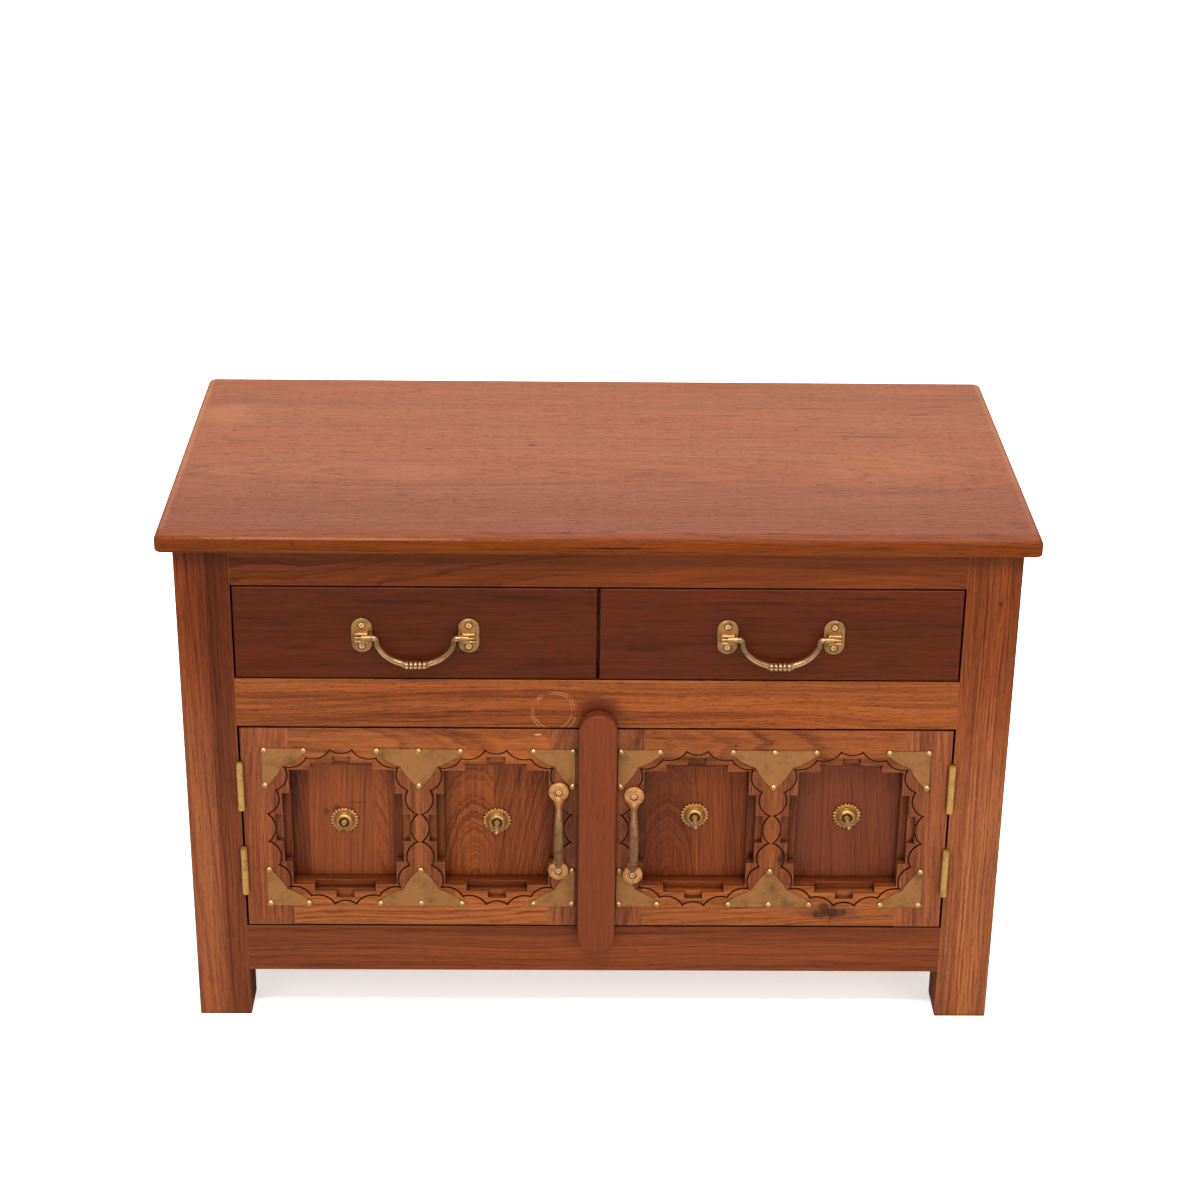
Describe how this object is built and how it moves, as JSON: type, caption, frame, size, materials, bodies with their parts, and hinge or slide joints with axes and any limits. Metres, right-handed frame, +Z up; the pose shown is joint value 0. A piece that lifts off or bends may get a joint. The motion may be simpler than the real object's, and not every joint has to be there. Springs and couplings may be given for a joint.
{
  "type": "carved cabinet",
  "caption": "Low wooden cabinet: plain top, drawers with swinging brass bails, and carved panel doors with brass corner plates, spiked bosses and a rounded meeting bar.",
  "frame": {"origin": "bottom centre of the whole object's box, on the floor", "axes": "+Z up, the front faces -Y, +X towards the right-hand door as one faces the front"},
  "size_m": [0.83, 0.445, 0.535],
  "materials": {
    "top_wood": "oiled teak, satin",
    "lipping_wood": "oiled teak, satin",
    "frame_wood": "oiled teak, satin",
    "side_panel_wood": "oiled teak, satin",
    "inner_wood": "plain wood, unpolished",
    "drawer_front_wood": "dark teak, satin",
    "door_wood": "oiled teak, satin",
    "door_panel_wood": "oiled teak, satin",
    "bar_wood": "dark teak, satin",
    "hinge_brass": "brushed brass, a little tarnished",
    "handle_brass": "cast brass, satin",
    "screw_brass": "brass, dull",
    "screw_steel": "steel, dull",
    "plate_brass": "sheet brass, hand worked",
    "tack_brass": "brass, aged"
  },
  "bodies": {
    "case": {"top_board": "top_wood", "top_front_lipping": "lipping_wood", "post_front_left": "frame_wood", "post_front_right": "frame_wood", "post_back_left": "frame_wood", "post_back_right": "frame_wood", "front_top_rail": "frame_wood", "front_middle_rail": "frame_wood", "front_bottom_rail": "frame_wood", "back_rails": "frame_wood", "side_rails": "frame_wood", "side_panels": "side_panel_wood", "back_panel": "side_panel_wood", "floor_board": "inner_wood", "dust_board": "inner_wood", "drawer_partition": "inner_wood", "cleats_guides_and_stops": "inner_wood", "top_fixing_blocks": "inner_wood", "case_screws": "screw_steel", "case_hinge_leaves": "hinge_brass", "hinge_pins": "hinge_brass"},
    "drawer_left": {"drawer_left_front": "drawer_front_wood", "drawer_left_sides": "inner_wood", "drawer_left_back": "inner_wood", "drawer_left_bottom": "inner_wood", "drawer_left_handle_plates": "handle_brass", "drawer_left_screws": "screw_brass"},
    "bail_left": {"drawer_left_bail": "handle_brass"},
    "drawer_right": {"drawer_right_front": "drawer_front_wood", "drawer_right_sides": "inner_wood", "drawer_right_back": "inner_wood", "drawer_right_bottom": "inner_wood", "drawer_right_handle_plates": "handle_brass", "drawer_right_screws": "screw_brass"},
    "bail_right": {"drawer_right_bail": "handle_brass"},
    "door_left": {"door_left_outer_stile": "door_wood", "door_left_inner_stile": "door_wood", "door_left_top_rail": "door_wood", "door_left_bottom_rail": "door_wood", "door_left_muntin": "door_wood", "door_left_panels": "door_panel_wood", "door_left_brass_plates": "plate_brass", "door_left_tacks": "tack_brass", "door_left_bosses": "tack_brass", "door_left_handle": "handle_brass", "door_left_screws": "screw_brass", "door_left_hinge_leaves": "hinge_brass"},
    "door_right": {"door_right_outer_stile": "door_wood", "door_right_inner_stile": "door_wood", "door_right_top_rail": "door_wood", "door_right_bottom_rail": "door_wood", "door_right_muntin": "door_wood", "door_right_panels": "door_panel_wood", "door_right_brass_plates": "plate_brass", "door_right_tacks": "tack_brass", "door_right_bosses": "tack_brass", "door_right_handle": "handle_brass", "door_right_screws": "screw_brass", "door_right_hinge_leaves": "hinge_brass", "meeting_bar": "bar_wood"}
  },
  "joints": [
    {"name": "drawer_left_slide", "type": "slide", "parent": "case", "child": "drawer_left", "axis": [0, -1, 0], "range_m": [0, 0.27]},
    {"name": "drawer_right_slide", "type": "slide", "parent": "case", "child": "drawer_right", "axis": [0, -1, 0], "range_m": [0, 0.27]},
    {"name": "bail_left_swing", "type": "hinge", "parent": "drawer_left", "child": "bail_left", "pos_m": [-0.1739, -0.2005, 0.429], "axis": [-1, 0, 0], "range_deg": [-5, 110]},
    {"name": "bail_right_swing", "type": "hinge", "parent": "drawer_right", "child": "bail_right", "pos_m": [0.1739, -0.2005, 0.429], "axis": [-1, 0, 0], "range_deg": [-5, 110]},
    {"name": "door_right_swing", "type": "hinge", "parent": "case", "child": "door_right", "pos_m": [0.347, -0.196, 0.2175], "axis": [0, 0, 1], "range_deg": [0, 170]},
    {"name": "door_left_swing", "type": "hinge", "parent": "case", "child": "door_left", "pos_m": [-0.347, -0.196, 0.2175], "axis": [0, 0, -1], "range_deg": [0, 170]}
  ],
  "couplings": [
    {"joint": "door_left_swing", "follows": "door_right_swing", "ratio": 1}
  ]
}
